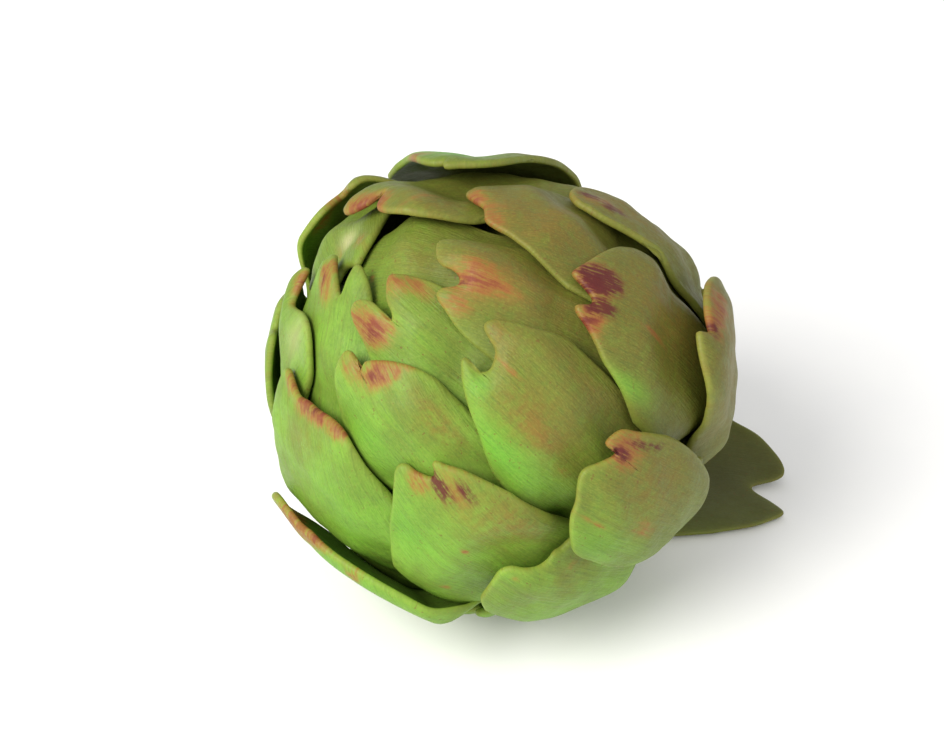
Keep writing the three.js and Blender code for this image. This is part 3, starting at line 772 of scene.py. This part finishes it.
# ---- the core ----
BUD_LEAVES = 3  # small leaves side by side in the bud
BUD_FOLD = 0.4  # how far each one stands out
BUD_TWIST = 2.4  # turns of their spiral, in degrees for each degree from the crown
STEM_END = 2 - BASE_RADIUS - STEM_LENGTH  # height of the stem's cut
STEM_RIBS = ((13, 0.35, 0), (29, 0.2, 1), (7, 0.15, 2))  # how many go round, how high, their phase
CUT_RELIEF = 0.12  # height of the rough rings in the cut


def core_radius(d):
    """The radius of the core's face, under every bract."""
    return skin_radius(d) - LAYER * layers_over(-1, d) - CLEARANCE


def ring_stack(points, ends):
    """The points and faces of a closed mesh through a stack of rings, with a point at either end."""
    rows, turns = points.shape[:2]
    ring = np.arange(turns)
    ahead = np.roll(ring, -1)
    last = (rows - 1) * turns
    first_end = rows * turns
    faces = []
    for row in range(0, last, turns):
        below = row + turns
        faces += np.stack([row + ring, below + ring, below + ahead, row + ahead], 1).tolist()
    faces += [[first_end, int(i), int(j)] for i, j in zip(ring, ahead)]
    faces += [[first_end + 1, int(last + j), int(last + i)] for i, j in zip(ring, ahead)]
    return np.vstack([points.reshape(-1, 3), ends]), faces


def with_ends(values, first, last):
    """A stack's values, with those of its two end points."""
    return np.concatenate([values, [first, last]])


def build_bud(material):
    """The closed bud: small leaves packed in a spiral, seen as slight steps in its surface."""
    turns, polars = 120, np.linspace(1, HEART_TOP, 70)
    az = np.linspace(0, 360, turns, endpoint=False)
    grid = np.array([[sphere_point(a, p) for a in az] for p in polars])
    least = core_radius(grid).min(axis=1)
    least = np.minimum(least, np.roll(least, 1))
    fold = BUD_FOLD * np.sin(np.radians(BUD_LEAVES * az[None, :] + BUD_TWIST * polars[:, None]))
    points = grid * (least[:, None] + fold - BUD_FOLD)[..., None]
    top_z, floor_z = points[0, :, 2].mean(), points[-1, :, 2].mean()
    points[-1, :, 2] = floor_z
    points, faces = ring_stack(points, [[0, 0, top_z], [0, 0, floor_z]])
    angle = np.radians(np.tile(az, len(polars)))
    zero = np.zeros(len(points))
    values = {
        "across": with_ends(15 * np.sin(3 * angle), 0, 0),
        "along": with_ends(np.repeat(polars, turns), 0, HEART_TOP),
        "seed": zero + 5,
        "rim": zero,
        "inner": zero,
        **{kind: zero for kind in KINDS},
    }
    piece = new_mesh("closed_bud_flesh", in_place(points), faces, material, values)
    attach(piece, "root")
    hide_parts("closed_bud")
    return piece


def least_core_radius(polar):
    """The core's least radius round the head's axis at this polar angle."""
    return core_radius(np.array([sphere_point(az, polar) for az in range(0, 360, 4)])).min()


def heart_profile():
    """Radius and height from the middle of the bowl's flat top to the middle of the stem's cut, and the
    height where the stem begins."""
    bowl_z = least_core_radius(HEART_TOP) * math.cos(math.radians(HEART_TOP)) - CLEARANCE
    bowl = []
    for polar in np.linspace(HEART_TOP + 2, HEART_END, 16):
        r = least_core_radius(polar)
        radius, z = r * math.sin(math.radians(polar)), r * math.cos(math.radians(polar))
        if z < bowl_z - 0.2 and radius > STEM_RADIUS:
            bowl.append((radius, z))
    top = [(bowl[0][0] * share, bowl_z) for share in (0, 0.3, 0.6, 0.85, 0.97)]
    stem_top = bowl[-1][1] - 3
    stem = [(STEM_RADIUS, z) for z in np.linspace(stem_top, STEM_END + 0.6, 12)]
    rounded = [(STEM_RADIUS - 0.25, STEM_END + 0.15), (STEM_RADIUS - 0.7, STEM_END)]
    cut = [(STEM_RADIUS * share, STEM_END) for share in (0.82, 0.7, 0.55, 0.4, 0.25, 0.1, 0)]
    return top + bowl + stem + rounded + cut, stem_top


def build_heart(material):
    """The bowl-shaped heart and the cut stub of its stem, with the stem's ribs."""
    profile, stem_top = heart_profile()
    turns = 144
    az = np.linspace(0, 2 * math.pi, turns, endpoint=False)
    radii, heights = (np.array(values)[:, None] for values in zip(*profile[1:-1]))
    rib = sum(height * np.sin(count * az + phase) for count, height, phase in STEM_RIBS)
    on_stem = smoothstep(-heights, -stem_top - 1, -stem_top + 1) * smoothstep(radii, 3, STEM_RADIUS)
    r = radii + rib * on_stem - STEM_RIBS[0][1] * on_stem
    rough = CUT_RELIEF * np.sin(5 * radii + 2 * np.sin(3 * az))
    z = heights + np.where(heights < STEM_END + 0.1, rough, 0)
    points = np.stack([r * np.cos(az), r * np.sin(az), z], -1)
    ends = [[0, 0, profile[0][1]], [0, 0, STEM_END]]
    points, faces = ring_stack(points, ends)
    values = {
        "across": with_ends(np.repeat(radii[:, 0], turns), 0, 0),
        "along": with_ends(np.repeat(heights[:, 0], turns), profile[0][1], STEM_END),
        "seed": with_ends(np.tile(12 * np.sin(az) + 5 * np.cos(2 * az), len(radii)), 0, 0),
    }
    piece = new_mesh("heart_and_stem_flesh", in_place(points), faces, material, values)
    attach(piece, "root")
    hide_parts("heart_and_stem")
    return piece


def add_painted_side_shade(piece):
    """Give each point how much painted shade, in olive, it has, by where it is on the head: the most on the
    side facing away from the key lamp.
    """
    mesh = piece.data
    co = np.zeros(len(mesh.vertices) * 3, np.float32)
    mesh.vertices.foreach_get("co", co)
    outward = unit(co.reshape(-1, 3) / MM - CENTRE)
    painted_side_shade = smoothstep(outward @ unit(PAINTED_SHADE_SIDE), -0.4, 0.5)
    layer = mesh.attributes.new("painted_side_shade", "FLOAT", "POINT")
    layer.data.foreach_set("value", painted_side_shade.astype(np.float32))


# ---- the pieces ----
SKIN = bract_material()
CUT = cut_material()
for rank, b in enumerate(BRACTS):
    add_painted_side_shade(build_bract(b, place_on_globe(rank), SKIN))
add_painted_side_shade(build_bract(SPREAD, place_spread(SPREAD), SKIN))
add_painted_side_shade(build_bud(SKIN))
build_heart(CUT)


# ---- camera, light and floor: metres, degrees and watts ----
CAMERA_AZ, CAMERA_ELEVATION, CAMERA_DISTANCE = -18.6, 35, 0.45
CAMERA_LENS, CAMERA_SENSOR = 76.9, 36
CAMERA_SHIFT = (-0.00737, 0.00145)  # how far the view stands to the right of LOOK_AT, and above it
LOOK_AT = Vector((0, 0, 0.051))
LIGHTS_AIM = Vector((0, 0, 0.04))
SKY = 0.75  # strength of the white surroundings
FLOOR_HALF = 3.0
FLOOR_DROP = 0.0001  # keeps the floor just clear of the head's flat spot


def camera():
    """Looks down at the head from the left of its front, with a long lens."""
    az, elevation = math.radians(CAMERA_AZ), math.radians(CAMERA_ELEVATION)
    level = math.cos(elevation)
    back = Vector((math.sin(az) * level, -math.cos(az) * level, math.sin(elevation)))
    right = Vector((math.cos(az), math.sin(az), 0))
    above = back.cross(right)
    data = bpy.data.cameras.new("camera")
    data.lens, data.sensor_width = CAMERA_LENS, CAMERA_SENSOR
    view = bpy.data.objects.new("camera", data)
    view.location = LOOK_AT + back * CAMERA_DISTANCE + right * CAMERA_SHIFT[0] + above * CAMERA_SHIFT[1]
    view.rotation_euler = Matrix((right, above, back)).transposed().to_euler()
    bpy.context.scene.collection.objects.link(view)
    bpy.context.scene.camera = view


def area_light(name, location, size, power, colour):
    """A round, soft lamp that shines on the head."""
    data = bpy.data.lights.new(name, "AREA")
    data.shape, data.size, data.energy, data.color = "DISK", size, power, colour
    lamp = bpy.data.objects.new(name, data)
    lamp.location = location
    lamp.rotation_euler = (LIGHTS_AIM - lamp.location).to_track_quat("-Z", "Y").to_euler()
    bpy.context.scene.collection.objects.link(lamp)


def floor_plane():
    """A pale paper floor, a touch uneven in its white."""
    n = Nodes("floor_paper")
    speckle = n.noise(n.add("ShaderNodeTexCoord", out="Object"), 60.0, 2.0, 0.5)
    n.put(n.shader.inputs["Base Color"], n.mix(speckle, (0.9, 0.9, 0.9, 1), (0.93, 0.93, 0.92, 1)))
    n.shader.inputs["Roughness"].default_value = 0.9
    corners = [(x * FLOOR_HALF, y * FLOOR_HALF, 0) for x, y in ((-1, -1), (1, -1), (1, 1), (-1, 1))]
    mesh = bpy.data.meshes.new("floor")
    mesh.from_pydata(corners, [], [(0, 1, 2, 3)])
    mesh.materials.append(n.material)
    floor = bpy.data.objects.new("floor", mesh)
    floor.location.z = -FLOOR_DROP
    bpy.context.scene.collection.objects.link(floor)


def studio():
    """A warm key lamp from the upper left, a weak fill and white surroundings."""
    camera()
    area_light("key", Vector((-0.75, -0.35, 0.75)), 0.7, 14, (1.0, 0.98, 0.94))
    area_light("fill", Vector((0.5, -0.9, 0.5)), 0.9, 2, (1.0, 0.98, 0.96))
    world = bpy.data.worlds.new("studio")
    world.use_nodes = True
    background = world.node_tree.nodes["Background"]
    background.inputs["Color"].default_value = (1, 1, 1, 1)
    background.inputs["Strength"].default_value = SKY
    bpy.context.scene.world = world
    bpy.context.scene.view_settings.view_transform = "Standard"
    floor_plane()


studio()
